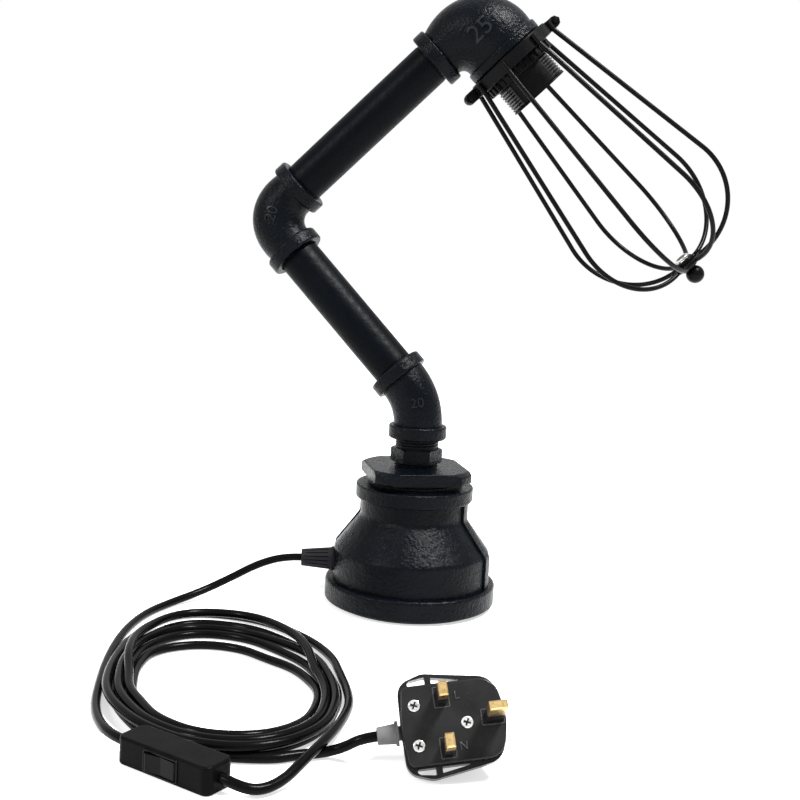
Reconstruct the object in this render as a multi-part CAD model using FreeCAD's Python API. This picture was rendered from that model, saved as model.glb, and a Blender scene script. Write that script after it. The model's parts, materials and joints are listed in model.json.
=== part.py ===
"""Table lamp made of screwed iron pipe fittings, with a wire guard, a line switch and a mains plug.

Millimetres, +Z up.  The origin is the middle of the resting face.  Each sub-part is one STEP file.
"""
import FreeCAD, Part
import os
from math import acos, asin, atan2, cos, degrees, hypot, pi, radians, sin, sqrt, tan

V = FreeCAD.Vector
X, Y, Z = V(1, 0, 0), V(0, 1, 0), V(0, 0, 1)
O = V(0, 0, 0)

# ---- Driving dimensions -----------------------------------------------------------------------

# Screwed joints
FIT = 0.05                # radial clearance of a screwed joint, whose thread is left plain
SOFT_GAP = 0.3            # gap between a soft or loose piece and its seat

# 3/4" pipe and fittings
PIPE_R = 13.45            # outside
PIPE_BORE_R = 10.8
THREAD_R = 13.2           # over the thread of a pipe end or nipple
THREAD_LEN = 13.0         # length screwed into a fitting
BEAD_R = 18.5             # collar round each mouth of a fitting
BEAD_LEN = 8.5
BODY_R = 15.5             # fitting between its collars
FITTING_WALL = 3.0

# Base: reducing socket 3" to 2"
PAD_R = 50.0
PAD_H = 2.0
FOOT_R = 54.9             # 3" collar
FOOT_TOP = 15.3           # heights are above the resting face
BARREL_R = 50.2
BARREL_TOP = 35.0
NECK_R = 34.0
NECK_BOTTOM = 56.8
TOP_BEAD_BOTTOM = 68.1
TOP_BEAD_TOP = 77.4
TOP_BEAD_R = 37.65        # 2" collar
BARREL_BORE_R = 43.5
SOCKET_BORE_R = 29.8      # 2" thread
SOCKET_BORE_BOTTOM = 60.0
RIB_WIDTH = 8.4
RIB_RISE = 1.5
RIB_AZIMUTH = -19.0       # degrees; the second rib is opposite

# Bushing 2" to 3/4"
BUSH_HEAD_ACROSS = 62.0   # across the flats of its square head
BUSH_BLANK_R = 38.4       # round blank that the head's corners are left from
BUSH_HEAD_BOTTOM = 81.6
BUSH_HEAD_H = 7.8
BUSH_THREAD_BOTTOM = 61.5
BUSH_HOLLOW_R = 24.0
BUSH_WEB = 9.0            # web between the hollow and the top of the head
BUSH_TURN = 13.0           # degrees that the head is turned about Z

# Hexagon nipple 3/4"
HEX_ACROSS = 28.6
HEX_BOTTOM = 92.0
HEX_H = 8.9
NIPPLE_BORE_R = 10.0

# Arm
SWIVEL_AZIMUTH = 16.9     # degrees that the lower arm leans away from the -X direction
ELBOW1_Z = 132.3          # crossing of the axes in the 45 degree elbow
ELBOW1_REACH = 25.0       # from the crossing to each mouth
LOWER_REACH = 154.5       # between the axis crossings of the first and the second elbow
ELBOW2_REACH = 33.0
ARM_TURN = 6.5            # degrees that the upper arm is turned about the lower one
UPPER_REACH = 181.5       # between the axis crossings of the second and the head elbow

# Head elbow, reducing from the arm to the lamp holder
HEAD_TURN = -7.0          # degrees that the head is turned about the upper arm
HEAD_INLET_REACH = 37.5
HEAD_OUTLET_REACH = 28.5
HEAD_BEAD_R = 26.0
HEAD_BEAD_LEN = 6.5
HEAD_THROAT_R = 5.0
HEAD_RADII = (16.0, 19.2, 22.4, 24.4, 24.5)
HEAD_BORE_R = 20.0

# Lamp holder, along the lamp axis from the crossing in the head elbow
HOLDER_R = 19.75
HOLDER_BACK = 15.0
HOLDER_RIM = 59.4
HOLDER_WALL = 3.0
HOLDER_CAP_R = 17.3         # back edge of the end cap
HOLDER_CAP_H = 3.0
HOLDER_LEAD_R = 3.5
HOLDER_CORE_R = 18.7      # root of the outside thread, where it stands free
HOLDER_FLAT = 17.9        # from the lamp axis to the flats that break the thread
SHELL_R = 13.3            # inside of the threaded shell for the lamp cap
SHELL_WALL = 0.8
SHELL_LEN = 24.0
SHELL_FOOT = 7.0          # thinner foot that stands round the contacts
SHELL_FOOT_WALL = 0.5
INSERT_H = 7.0
COLLAR_R = 29.0           # ring nut that the guard is clamped on
COLLAR_LEN = 8.0
COLLAR_HUB_R = 24.0
COLLAR_HUB_LEN = 6.0

# Wire guard, in the same axis; angles are about it, from the upper arm towards the front
WIRE_R = 1.5
BAND_THICK = 1.6
BAND_LEN = 7.0
BAND_START = 29.3
SPLIT_ANGLE = -9.0
DOOR_WIRES = (23.0, 65.0, 111.0, 152.0)      # from the split, round the front half
FIXED_WIRES = (36.0, 73.0, 113.0, 150.0)     # from the split, round the back half
HUB_AXIAL = 203.0         # middle of the hub
HUB_R = 6.5
HUB_LEN = 7.0
NOSE_R = 44.0             # radius of the rounded end of each wire
YOKE_R = 10.0             # half ring that joins the wires of the swinging half
EAR_GAP = 1.2
EAR_THICK = 1.6
CLAMP_SCREW_AT = 35.2
CLAMP_SCREW_R = 1.5
CLAMP_HEAD_R = 3.2
CLAMP_SCREW_PLAY = 0.35
BALL_R = 5.8
HINGE_PIN_R = 1.1
HINGE_PIN_START = 3.5     # from the lamp axis
PIN_PRESS = 0.02
EYE_R = 2.6
EYE_LEN = 3.0
RIVET_R = 2.6

# Mains lead
CORD_R = 2.4
INNER_LEAD_R = 1.8
GLAND_Z = 25.8
GLAND_STAND = 0.2
GLAND_LEN = 20.5
GLAND_ROOT_R = 7.2
GLAND_TIP_R = 5.4
GLAND_AZIMUTH = 183.0
GLAND_NECK_R = 4.6
GLAND_FLANGE = 1.4
GLAND_SEAT_DEPTH = 1.2      # how far the curved flange laps back round the barrel
LOCK_NUT_ACROSS = 13.0
LOCK_NUT_LEN = 4.0
COIL_HEIGHT = 14.7        # three layers

# Line switch
SWITCH_LEN = 54.0
SWITCH_DEEP = 17.0
SWITCH_H = 13.0
SWITCH_AT = (-102.0, -265.2)
SWITCH_AZIMUTH = -33.0    # degrees, direction in which the lead leaves it
SWITCH_WALL = 1.6
ROCKER_LEN = 17.0
ROCKER_WIDE = 8.0
ROCKER_TILT = 9.0

# Plug, British three-pin pattern: U from the lead to the earth pin, V towards live, W out of the face
PIN_PITCH = 22.23
PLUG_AT = (14.8, -253.0)
PLUG_ROLL = 10.0
PLUG_LEAN = 35.0          # degrees that the pins point up
PLUG_FACE_H = 6.0
PLUG_BACK = 21.0
PLUG_RELIEF_LEN = 10.5


# ---- Small tools ------------------------------------------------------------------------------

def frame(origin, x_axis, z_axis):
    """Placement whose local X and Z lie along the two unit vectors."""
    y_axis = z_axis.cross(x_axis)
    return FreeCAD.Placement(FreeCAD.Matrix(
        x_axis.x, y_axis.x, z_axis.x, origin.x,
        x_axis.y, y_axis.y, z_axis.y, origin.y,
        x_axis.z, y_axis.z, z_axis.z, origin.z,
        0, 0, 0, 1))


def put(shape, placement):
    """The shape moved from the local frame of the placement to the world."""
    moved = shape.copy()
    moved.Placement = placement.multiply(moved.Placement)
    return moved


def turn(vector, axis, angle):
    """The vector turned about the axis by degrees, right-handed."""
    return FreeCAD.Rotation(axis, angle).multVec(vector)


def outline(points, plane="XZ"):
    """Closed wire through (x, y) or (x, y, corner radius) points of a plane."""
    def lift(x, y):
        return V(x, 0, y) if plane == "XZ" else V(x, y, 0)
    corners = []
    count = len(points)
    for i, point in enumerate(points):
        here = lift(point[0], point[1])
        radius = point[2] if len(point) > 2 else 0
        back = lift(*points[i - 1][:2]) - here
        ahead = lift(*points[(i + 1) % count][:2]) - here
        if not radius:
            corners.append((here, None, here))
            continue
        back.normalize()
        ahead.normalize()
        half = acos(max(-1, min(1, back.dot(ahead)))) / 2
        middle = (back + ahead).normalize()
        trim = radius / tan(half)
        centre = here + middle * (radius / sin(half))
        corners.append((here + back * trim, centre - middle * radius, here + ahead * trim))
    edges = []
    for i, (start, mid, end) in enumerate(corners):
        if mid is not None:
            edges.append(Part.Arc(start, mid, end).toShape())
        after = corners[(i + 1) % count][0]
        if (after - end).Length > 1e-6:
            edges.append(Part.LineSegment(end, after).toShape())
    return Part.Wire(edges)


def revolved(points):
    """Solid of revolution about Z of an (r, z) outline."""
    return Part.Face(outline(points)).revolve(O, Z, 360)


def extruded(points, z0, z1):
    """Prism of an (x, y) outline between two heights."""
    prism = Part.Face(outline(points, "XY")).extrude(V(0, 0, z1 - z0))
    prism.translate(V(0, 0, z0))
    return prism


def rod(r, z0, z1, x=0.0, y=0.0):
    return Part.makeCylinder(r, z1 - z0, V(x, y, z0))


def rod_along(r, start, end):
    way = end - start
    return Part.makeCylinder(r, way.Length, start, way)


def block(x0, x1, y0, y1, z0, z1):
    return Part.makeBox(x1 - x0, y1 - y0, z1 - z0, V(x0, y0, z0))


def tube(r_out, r_in, z0, z1):
    return rod(r_out, z0, z1).cut(rod(r_in, z0, z1))


def polygon(sides, across_flats, first=0.0):
    """Corner list of a regular polygon, one corner at the first angle."""
    r = across_flats / 2 / cos(pi / sides)
    step = 2 * pi / sides
    return [(r * cos(radians(first) + i * step), r * sin(radians(first) + i * step)) for i in range(sides)]


def hexagon(across, z0, z1, first=0.0, chamfer=0.6):
    """Hexagon prism with its corners turned off at both ends."""
    reach = across / 2 / cos(pi / 6)
    turned = revolved([(0, z0), (reach - chamfer * 1.8, z0), (reach, z0 + chamfer), (reach, z1 - chamfer),
                       (reach - chamfer * 1.8, z1), (0, z1)])
    return extruded(polygon(6, across, first), z0, z1).common(turned)


def bead(r, z0, z1, edge=1.4):
    """Rounded collar of a fitting, solid."""
    return revolved([(0, z0), (r, z0, edge), (r, z1, edge), (0, z1)])


def routed(points, radius):
    """Tube of a lead: straight runs joined by arcs of 0.45 of the shorter run over tan(half turn)."""
    points = [V(*p) for p in points]
    edges = []
    at = points[0]
    bends = []
    for a, b, c in zip(points, points[1:], points[2:]):
        back = (a - b)
        ahead = (c - b)
        short = min(back.Length, ahead.Length)
        back.normalize()
        ahead.normalize()
        half_turn = (pi - acos(max(-1, min(1, back.dot(ahead))))) / 2
        bend = 0.45 * short / tan(half_turn)
        bends.append(bend)
        start, end = b + back * (0.45 * short), b + ahead * (0.45 * short)
        middle = (back + ahead).normalize()
        centre = b + middle * (bend / cos(half_turn))
        edges.append(Part.LineSegment(at, start).toShape())
        edges.append(Part.Arc(start, centre - middle * bend, end).toShape())
        at = end
    edges.append(Part.LineSegment(at, points[-1]).toShape())
    path = Part.Wire(edges)
    ring = Part.Wire([Part.makeCircle(radius, points[0], points[1] - points[0])])
    solid = path.makePipeShell([ring], True, True)
    print("lead: length %.1f, smallest bend %.1f, volume over section times length %.4f"
          % (path.Length, min(bends), solid.Volume / (pi * radius ** 2 * path.Length)))
    return solid


WRITTEN = []


def write(node, shape):
    """Writes one node; a list of solids becomes a group."""
    if isinstance(shape, list):
        shape = Part.makeCompound(shape)
    assert shape.isValid(), node
    shape.exportStep("parts/%s.step" % node)
    WRITTEN.append(node)


# ---- Frames of the arm ------------------------------------------------------------------------

LEAN = turn(V(-1, 0, 0), Z, -SWIVEL_AZIMUTH)                 # level direction of the lower arm
ARM1 = (LEAN + Z).normalize()                                # lower arm, 45 degrees up
E1 = Z * ELBOW1_Z
E2 = E1 + ARM1 * LOWER_REACH
LEVEL = ARM1.cross(Z).normalize()
ARM2 = turn(LEVEL.cross(ARM1), ARM1, ARM_TURN)               # upper arm, square to the lower one
E3 = E2 + ARM2 * UPPER_REACH
LAMP = turn(ARM2.cross(ARM2.cross(Z).normalize()), ARM2, -HEAD_TURN)  # lamp axis, out of the holder

ELBOW1 = frame(E1, LEAN, Z)
LOWER = frame(E1, ARM2, ARM1)
ELBOW2 = frame(E2, ARM2, ARM1)
UPPER = frame(E2, ARM1, ARM2)
ELBOW3 = frame(E3, LAMP, ARM2)
HEAD = frame(E3, ARM2, LAMP)


# ---- Base -------------------------------------------------------------------------------------

def reducing_socket():
    def skin(rise):
        return [(0, PAD_H), (FOOT_R, PAD_H, 1.2), (FOOT_R, FOOT_TOP, 2.0),
                (BARREL_R + rise, FOOT_TOP), (BARREL_R + rise, BARREL_TOP, 5.0),
                (NECK_R + rise, NECK_BOTTOM, 6.0), (NECK_R + rise, TOP_BEAD_BOTTOM),
                (TOP_BEAD_R, TOP_BEAD_BOTTOM, 1.6), (TOP_BEAD_R, TOP_BEAD_TOP, 1.2), (0, TOP_BEAD_TOP)]
    slab = block(-FOOT_R, FOOT_R, -RIB_WIDTH / 2, RIB_WIDTH / 2, FOOT_TOP - 1, TOP_BEAD_BOTTOM + 1)
    slab.rotate(O, Z, RIB_AZIMUTH)
    ribs = revolved(skin(RIB_RISE)).common(slab)
    hollow = revolved([(0, PAD_H - 1), (BARREL_BORE_R, PAD_H - 1), (BARREL_BORE_R, BARREL_TOP, 3),
                       (SOCKET_BORE_R - 1.3, SOCKET_BORE_BOTTOM - 4), (SOCKET_BORE_R - 1.3, SOCKET_BORE_BOTTOM),
                       (SOCKET_BORE_R, SOCKET_BORE_BOTTOM), (SOCKET_BORE_R, TOP_BEAD_TOP + 1),
                       (0, TOP_BEAD_TOP + 1)])
    cast = revolved(skin(0)).fuse(ribs).removeSplitter().cut(hollow)
    hole = put(rod(GLAND_NECK_R + FIT, BARREL_BORE_R - 8, FOOT_R + 4), GLAND)
    return cast.cut(hole)


def hexagon_bushing():
    flat = BUSH_HEAD_ACROSS / 2
    r = BUSH_BLANK_R
    top = BUSH_HEAD_BOTTOM + BUSH_HEAD_H
    turned = revolved([(0, BUSH_HEAD_BOTTOM), (r - 1.2, BUSH_HEAD_BOTTOM, 0.5), (r, BUSH_HEAD_BOTTOM + 1.2, 1.5),
                       (r, top - 2.0, 1.5), (r - 3.6, top, 1.0), (0, top)])
    square = block(-flat, flat, -flat, flat, BUSH_HEAD_BOTTOM, top)
    square = square.makeFillet(1.0, [e for e in square.Edges if abs(e.BoundBox.ZMin - top) < 1e-6])
    head = square.common(turned)
    head.rotate(O, Z, BUSH_TURN)
    body = head.fuse(revolved([(0, BUSH_THREAD_BOTTOM), (SOCKET_BORE_R - FIT, BUSH_THREAD_BOTTOM, 1.0),
                               (SOCKET_BORE_R - FIT, BUSH_HEAD_BOTTOM + 1), (0, BUSH_HEAD_BOTTOM + 1)]))
    hollow = rod(BUSH_HOLLOW_R, BUSH_THREAD_BOTTOM - 1, top - BUSH_WEB)
    return body.cut(hollow).cut(rod(THREAD_R + FIT, BUSH_THREAD_BOTTOM, top + 1))


def hex_nipple():
    hex_top = HEX_BOTTOM + HEX_H
    top = ELBOW1_Z - ELBOW1_REACH + THREAD_LEN
    bottom = BUSH_HEAD_BOTTOM + BUSH_HEAD_H - BUSH_WEB
    stem = revolved([(0, bottom), (THREAD_R, bottom, 0.8), (THREAD_R, top, 0.8), (0, top)])
    return stem.fuse(hexagon(HEX_ACROSS, HEX_BOTTOM, hex_top)).cut(rod(NIPPLE_BORE_R, bottom - 1, top + 1))


GLAND_OUT = turn(X, Z, GLAND_AZIMUTH)
GLAND = frame(Z * GLAND_Z, Z, GLAND_OUT)
LOCK_NUT_SEAT = sqrt(BARREL_BORE_R ** 2 - (LOCK_NUT_ACROSS / sqrt(3)) ** 2)
GLAND_NECK_END = LOCK_NUT_SEAT - LOCK_NUT_LEN - 1.0


def cord_gland():
    """Tapered strain relief with long ribs, a flange on the barrel and a threaded neck through it."""
    root = BARREL_R + GLAND_STAND
    tip = root + GLAND_LEN
    neck = GLAND_NECK_END
    seat = root - GLAND_SEAT_DEPTH
    body = revolved([(0, neck), (GLAND_NECK_R, neck, 0.6), (GLAND_NECK_R, seat), (GLAND_ROOT_R + 0.6, seat),
                     (GLAND_ROOT_R + 0.6, root + GLAND_FLANGE, 0.5), (GLAND_ROOT_R, root + GLAND_FLANGE),
                     (GLAND_TIP_R, tip, 0.8), (0, tip)])
    grooves = []
    for i in range(16):
        cutter = block(-0.35, 0.35, GLAND_TIP_R - 0.1, GLAND_ROOT_R + 2, root + 3.2, tip - 2.4)
        cutter.rotate(O, Z, 22.5 * i)
        grooves.append(cutter)
    lead = rod(CORD_R, neck - 1, tip + 1)
    barrel = rod(BARREL_R + FIT, GLAND_Z - 2 * GLAND_ROOT_R, GLAND_Z + 2 * GLAND_ROOT_R)
    barrel = barrel.cut(put(rod(GLAND_NECK_R, 0, tip), GLAND))
    return put(body.cut(Part.makeCompound(grooves)).cut(lead), GLAND).cut(barrel)


def gland_nut():
    nut = hexagon(LOCK_NUT_ACROSS, LOCK_NUT_SEAT - LOCK_NUT_LEN, LOCK_NUT_SEAT - FIT, 30)
    nut = nut.cut(rod(GLAND_NECK_R + FIT, 0, FOOT_R))
    return put(nut, GLAND)


TERMINAL = (4.0, 0.0)
TERMINAL_SIZE = (20.0, 16.0, 13.0)


def terminal_block():
    """Two-way connector block standing on the pad, with a barrel and two screws each way."""
    x, y = TERMINAL
    lx, ly, lz = TERMINAL_SIZE
    body = block(x - lx / 2, x + lx / 2, y - ly / 2, y + ly / 2, PAD_H, PAD_H + lz * 0.55)
    bores = []
    for side in (-1, 1):
        tower = rod(ly * 0.22, PAD_H, PAD_H + lz, x - lx * 0.25, y + side * ly * 0.25)
        tower2 = rod(ly * 0.22, PAD_H, PAD_H + lz, x + lx * 0.25, y + side * ly * 0.25)
        body = body.fuse([tower, tower2])
        bores.append(rod_along(1.9, V(x - lx, y + side * ly * 0.25, PAD_H + lz * 0.3),
                               V(x + lx, y + side * ly * 0.25, PAD_H + lz * 0.3)))
        for end in (-1, 1):
            bores.append(rod(1.5, PAD_H + lz * 0.3, PAD_H + lz + 1, x + end * lx * 0.25, y + side * ly * 0.25))
    return body.cut(Part.makeCompound(bores))


def terminal_screws():
    x, y = TERMINAL
    lx, ly, lz = TERMINAL_SIZE
    screws = []
    for side in (-1, 1):
        for end in (-1, 1):
            screw = rod(1.5 - FIT, PAD_H + lz * 0.45, PAD_H + lz - 1, x + end * lx * 0.25, y + side * ly * 0.25)
            slot = block(x + end * lx * 0.25 - 2, x + end * lx * 0.25 + 2, y + side * ly * 0.25 - 0.25,
                         y + side * ly * 0.25 + 0.25, PAD_H + lz - 1.7, PAD_H + lz)
            screws.append(screw.cut(slot))
    return screws


def inner_lead_base():
    """From the gland to the terminal block, and from the block up beside the bore of the nipple."""
    x, y = TERMINAL
    lx, ly, lz = TERMINAL_SIZE
    mouth = GLAND_OUT * (GLAND_NECK_END - SOFT_GAP) + Z * GLAND_Z
    bore_z = PAD_H + lz * 0.3
    feed = routed([tuple(mouth), tuple(mouth - GLAND_OUT * 10), (x - lx / 2 - 11.5, -ly * 0.25, bore_z),
                   (x - lx / 2 - SOFT_GAP, -ly * 0.25, bore_z)], INNER_LEAD_R)
    rise_x = NIPPLE_BORE_R - INNER_LEAD_R - SOFT_GAP
    rise = routed([(x + lx / 2 + SOFT_GAP, ly * 0.25, bore_z), (x + lx / 2 + 12.0, ly * 0.25, bore_z),
                   (27.0, 2.0, 24.0), (20.0, 0.5, 43.0), (rise_x, 0.0, 60.0), (rise_x, 0.0, HEX_BOTTOM - 8)],
                  INNER_LEAD_R)
    return [feed, rise]


# ---- Elbows and pipes -------------------------------------------------------------------------

def bend_skin(angle, centre, throat, radii):
    """Loft of circles swung about the throat centre, from the inlet below to the outlet."""
    rings = []
    last = len(radii) - 1
    for i, r in enumerate(radii):
        swing = angle * i / last
        ring = Part.Wire([Part.makeCircle(r)])
        out = turn(V(-1, 0, 0), Y, swing)
        ring.Placement = FreeCAD.Placement(centre + out * (throat + r), FreeCAD.Rotation(Y, swing))
        rings.append(ring)
    return Part.makeLoft(rings, True, False)


def elbow(angle, centre, throat, radii, inlet, outlet):
    """Elbow whose inlet faces -Z and whose outlet lies in XZ, turned by the angle.

    inlet and outlet are (reach, collar radius, collar length, bore radius, depth of what screws in).
    """
    out_dir = turn(Z, Y, angle)
    out_frame = frame(O, turn(X, Y, angle), out_dir)
    in_start = -centre.z
    out_start = (turn(V(-1, 0, 0), Y, angle) * (throat + radii[-1]) + centre).dot(out_dir)
    solid = bend_skin(angle, centre, throat, radii)
    hollow = bend_skin(angle, centre, throat + FITTING_WALL, [r - FITTING_WALL for r in radii])
    reach, bead_r, bead_len, bore, deep = inlet
    solid = solid.fuse([rod(radii[0], -reach + 1, -in_start), bead(bead_r, -reach, -reach + bead_len)])
    bottom = max(-reach + deep, -in_start) + SOFT_GAP
    mouth = revolved([(0, -reach - 1), (bore + 1.6, -reach - 1), (bore, -reach + 1.2), (bore, bottom), (0, bottom)])
    hollow = hollow.fuse(mouth)
    reach, bead_r, bead_len, bore, deep = outlet
    stub = rod(radii[-1], out_start, reach - 1).fuse(bead(bead_r, reach - bead_len, reach))
    bottom = min(reach - deep, out_start) - SOFT_GAP
    mouth = revolved([(0, bottom), (bore, bottom), (bore, reach - 1.2), (bore + 1.6, reach + 1), (0, reach + 1)])
    return solid.fuse(put(stub, out_frame)).cut(hollow.fuse(put(mouth, out_frame)))


MOUTH = (BEAD_R, BEAD_LEN, THREAD_R + FIT, THREAD_LEN)
ELBOW1_CORE = ELBOW1_REACH - BEAD_LEN + 0.5        # where the bend of the 45 degree elbow starts
ELBOW1_BEND = ELBOW1_CORE / tan(radians(22.5))
ELBOW2_CORE = ELBOW2_REACH - BEAD_LEN - 2.5


def elbow_45():
    return elbow(45, V(ELBOW1_BEND, 0, -ELBOW1_CORE), ELBOW1_BEND - BODY_R, [BODY_R] * 3,
                 (ELBOW1_REACH,) + MOUTH, (ELBOW1_REACH,) + MOUTH)


def elbow_90():
    radii = (BODY_R, BODY_R + 0.8, BODY_R + 1.2, BODY_R + 0.8, BODY_R)
    return elbow(90, V(ELBOW2_CORE, 0, -ELBOW2_CORE), ELBOW2_CORE - BODY_R, radii,
                 (ELBOW2_REACH,) + MOUTH, (ELBOW2_REACH,) + MOUTH)


def head_elbow():
    centre = V(HEAD_THROAT_R + HEAD_RADII[0], 0, -HEAD_THROAT_R - HEAD_RADII[-1])
    return elbow(90, centre, HEAD_THROAT_R, HEAD_RADII, (HEAD_INLET_REACH,) + MOUTH,
                 (HEAD_OUTLET_REACH, HEAD_BEAD_R, HEAD_BEAD_LEN, HEAD_BORE_R, HEAD_OUTLET_REACH - HOLDER_BACK))


def pipe(start_reach, total, end_reach):
    """Pipe between two fittings a reach apart, its threaded ends turned down."""
    z0, z1 = start_reach - THREAD_LEN, total - end_reach + THREAD_LEN
    show0, show1 = start_reach + 1.0, total - end_reach - 1.0
    return revolved([(PIPE_BORE_R, z0), (THREAD_R, z0, 0.6), (THREAD_R, show0), (PIPE_R, show0 + 0.4),
                     (PIPE_R, show1 - 0.4), (THREAD_R, show1), (THREAD_R, z1, 0.6), (PIPE_BORE_R, z1)])


def pipe_lead(start, end, sag):
    """Inner lead lying along the lower wall of a pipe; sag is the wall's local direction."""
    off = sag * (PIPE_BORE_R - INNER_LEAD_R - SOFT_GAP)
    return rod_along(INNER_LEAD_R, off + Z * start, off + Z * end)


# ---- Lamp holder ------------------------------------------------------------------------------

def holder_cap():
    """End cap of the holder, closed but for the lead hole; the barrel stands on it."""
    return revolved([(HOLDER_LEAD_R, HOLDER_BACK), (HOLDER_CAP_R, HOLDER_BACK), (HOLDER_R, HOLDER_BACK + HOLDER_CAP_H),
                     (HOLDER_LEAD_R, HOLDER_BACK + HOLDER_CAP_H)])


def holder_body():
    """Barrel of the holder, its outside thread broken by smooth flats."""
    inner = SHELL_R + SHELL_WALL + FIT
    free = HEAD_OUTLET_REACH + COLLAR_LEN + COLLAR_HUB_LEN
    foot = HOLDER_BACK + HOLDER_CAP_H
    body = revolved([(HOLDER_R, foot),
                     (HOLDER_R, free), (HOLDER_CORE_R, free + 0.8), (HOLDER_CORE_R, HOLDER_RIM - 1.6),
                     (HOLDER_R, HOLDER_RIM - 0.8, 0.3), (HOLDER_R, HOLDER_RIM, 0.4), (inner, HOLDER_RIM, 0.6),
                     (inner, HOLDER_RIM - 4),
                     (HOLDER_R - HOLDER_WALL, HOLDER_RIM - 4), (HOLDER_R - HOLDER_WALL, foot)])
    for side in (-1, 1):
        y0, y1 = sorted((side * HOLDER_FLAT, side * (HOLDER_R + 1)))
        body = body.cut(block(-HOLDER_R, HOLDER_R, y0, y1, free + 0.4, HOLDER_RIM + 1))
    return body


def holder_insert():
    """Ceramic disc that carries both contacts and the threaded shell."""
    z0 = HOLDER_BACK + HOLDER_CAP_H
    r = HOLDER_R - HOLDER_WALL - FIT
    disc = revolved([(0, z0), (r, z0), (r, z0 + INSERT_H), (SHELL_R + SHELL_WALL, z0 + INSERT_H),
                     (SHELL_R + SHELL_WALL, z0 + INSERT_H - 1), (0, z0 + INSERT_H - 1)])
    return disc.cut(rod(2.2, z0 - 1, z0 + INSERT_H + 1, 6.5)).cut(rod(2.2, z0 - 1, z0 + INSERT_H + 1, -6.5))


def threaded_shell():
    z0 = HOLDER_BACK + HOLDER_CAP_H + INSERT_H - 1
    foot = rod(SHELL_R + SHELL_WALL - SHELL_FOOT_WALL, z0 - 1, z0 + SHELL_FOOT)
    return tube(SHELL_R + SHELL_WALL, SHELL_R, z0, z0 + SHELL_LEN).cut(foot)


def lamp_contacts():
    """Centre contact, a sprung tongue, and side contact, both on the ceramic disc."""
    z0 = HOLDER_BACK + HOLDER_CAP_H + INSERT_H - 1
    tongue = block(-8.5, 2.5, -2.5, 2.5, z0, z0 + 0.6).fuse(block(1.9, 2.5, -2.5, 2.5, z0, z0 + 3.4))
    tongue = tongue.fuse(block(-3.5, 2.5, -2.5, 2.5, z0 + 2.8, z0 + 3.4))
    side = block(6.0, 12.0, -2.0, 2.0, z0, z0 + 0.6).fuse(block(11.4, 12.0, -2.0, 2.0, z0, z0 + 6.0))
    return [tongue, side]


def collar_ring():
    """Ring nut on the holder's thread, seated on the mouth of the head elbow."""
    z0 = HEAD_OUTLET_REACH
    bore = HOLDER_R + FIT
    return revolved([(bore, z0), (COLLAR_R, z0, 0.6), (COLLAR_R, z0 + COLLAR_LEN, 0.6),
                     (COLLAR_HUB_R, z0 + COLLAR_LEN), (COLLAR_HUB_R, z0 + COLLAR_LEN + COLLAR_HUB_LEN, 0.8),
                     (bore, z0 + COLLAR_LEN + COLLAR_HUB_LEN)])


# ---- Wire guard -------------------------------------------------------------------------------

BAND_IN = COLLAR_R + FIT
BAND_OUT = BAND_IN + BAND_THICK
BAND_END = BAND_START + BAND_LEN
WIRE_START_R = BAND_OUT + WIRE_R - 0.4
NOSE_AXIAL = HUB_AXIAL - NOSE_R
NOSE_OFF = YOKE_R + 1.0
GUARD_TURN = FreeCAD.Placement(O, FreeCAD.Rotation(Z, SPLIT_ANGLE))
GUARD = HEAD.multiply(GUARD_TURN)       # X along the split, Y towards the swinging half, Z the lamp axis


def guard_wire(angle, end_r):
    """One wire: along the band, a straight flare, the rounded nose and in to the hub."""
    start_low = V(WIRE_START_R, 0, BAND_START + 0.5)
    start = V(WIRE_START_R, 0, BAND_END)
    nose = V(NOSE_OFF, 0, NOSE_AXIAL)
    way = nose - start
    reach = way.Length
    swing = atan2(way.x, way.z) + asin(NOSE_R / reach)
    run = sqrt(reach ** 2 - NOSE_R ** 2)
    touch = start + V(sin(swing), 0, cos(swing)) * run
    first = atan2(touch.x - nose.x, touch.z - nose.z)
    mid = nose + V(sin(first / 2), 0, cos(first / 2)) * NOSE_R
    end = nose + Z * NOSE_R
    path = Part.Wire([Part.LineSegment(start_low, start).toShape(), Part.LineSegment(start, touch).toShape(),
                      Part.Arc(touch, mid, end).toShape(),
                      Part.LineSegment(end, V(end_r, 0, end.z)).toShape()])
    ring = Part.Wire([Part.makeCircle(WIRE_R, start_low, Z)])
    wire = path.makePipeShell([ring], True, True, 1)
    wire.rotate(O, Z, angle)
    return wire


def half_disc(r, z0, z1, front):
    """Cylinder kept on one side of the split, a little short of it."""
    clear = EAR_GAP / 2
    keep = block(-r - 1, r + 1, clear, r + 1, z0 - 1, z1 + 1) if front else \
        block(-r - 1, r + 1, -r - 1, -clear, z0 - 1, z1 + 1)
    return rod(r, z0, z1).common(keep)


def clamp_hole(end, radius):
    """Cutter for the clamp screw in both ears at one end of the bands."""
    reach = EAR_GAP / 2 + EAR_THICK + 1
    return Part.makeCylinder(radius, 2 * reach, V(end * CLAMP_SCREW_AT, -reach, (BAND_START + BAND_END) / 2), Y)


def band_half(front):
    """Half clamp band with an ear at each end."""
    side = 1 if front else -1
    y0, y1 = sorted((side * EAR_GAP / 2, side * (EAR_GAP / 2 + EAR_THICK)))
    band = half_disc(BAND_OUT, BAND_START, BAND_END, front).cut(rod(BAND_IN, BAND_START - 1, BAND_END + 1))
    for end in (-1, 1):
        x0, x1 = sorted((end * (BAND_IN + BAND_THICK / 4), end * CLAMP_SCREW_AT))
        band = band.fuse(block(x0, x1, y0, y1, BAND_START, BAND_END))
        middle = V(end * CLAMP_SCREW_AT, y0, (BAND_START + BAND_END) / 2)
        band = band.fuse(Part.makeCylinder(BAND_LEN / 2, EAR_THICK, middle, Y))
        band = band.cut(clamp_hole(end, CLAMP_SCREW_R + (CLAMP_SCREW_PLAY if front else FIT)))
    return band


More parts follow.
